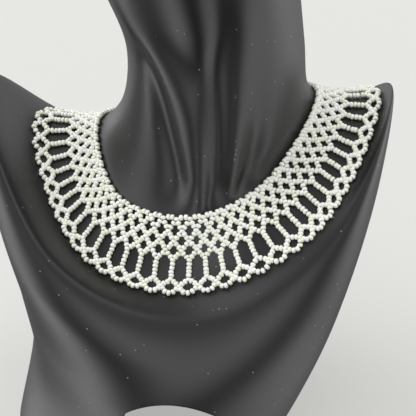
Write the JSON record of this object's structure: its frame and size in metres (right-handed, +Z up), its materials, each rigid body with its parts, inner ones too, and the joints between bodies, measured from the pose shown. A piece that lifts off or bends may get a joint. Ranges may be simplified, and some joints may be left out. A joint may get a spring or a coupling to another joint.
{
  "type": "bib necklace on a neck bust",
  "caption": "Wide scalloped collar necklace netted from pearly white seed beads, closed with a small barrel clasp and shown on a plain black neck bust with an arch through its base.",
  "frame": {"origin": "middle of the whole thing's width and depth, on the table", "axes": "+Z up, -Y out of the bust's chest towards the viewer, +X to the viewer's right"},
  "size_m": [0.2386, 0.2138, 0.265],
  "materials": {
    "bust_plastic": "smooth satin black plastic",
    "pearl_beads": "opaque creamy white glass with a pearl lustre",
    "clasp_metal": "bright silver-coloured plating"
  },
  "bodies": {
    "root": {"neck_bust": "bust_plastic", "bead_net": "pearl_beads", "clasp": "clasp_metal"}
  },
  "joints": []
}
